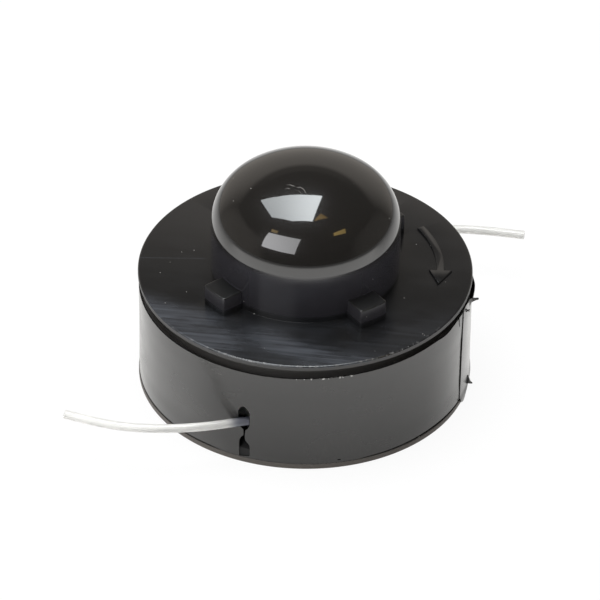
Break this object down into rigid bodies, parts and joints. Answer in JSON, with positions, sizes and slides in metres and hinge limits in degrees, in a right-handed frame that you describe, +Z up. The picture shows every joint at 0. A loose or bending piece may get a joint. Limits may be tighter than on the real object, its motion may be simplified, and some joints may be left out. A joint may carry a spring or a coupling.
{
  "type": "trimmer line spool",
  "caption": "Round flanged spool with a domed tap button and index lugs, wound with nylon cutting line and banded with film; feeds line to a grass trimmer head.",
  "frame": {"origin": "centre of the spool's base, on the surface it stands on", "axes": "+Z up along the spool axis towards the domed button; -Y is the front, with one line leaving to the left"},
  "size_m": [0.0788, 0.0606, 0.0422],
  "materials": {
    "spool_plastic": "glossy dome, satin flange",
    "nylon_line": "clear natural nylon",
    "band_film": "smooth glossy film"
  },
  "bodies": {
    "root": {"spool": "spool_plastic", "line_winding": "nylon_line", "line_tail_front": "nylon_line", "line_tail_rear": "nylon_line", "retaining_band": "band_film"}
  },
  "joints": []
}
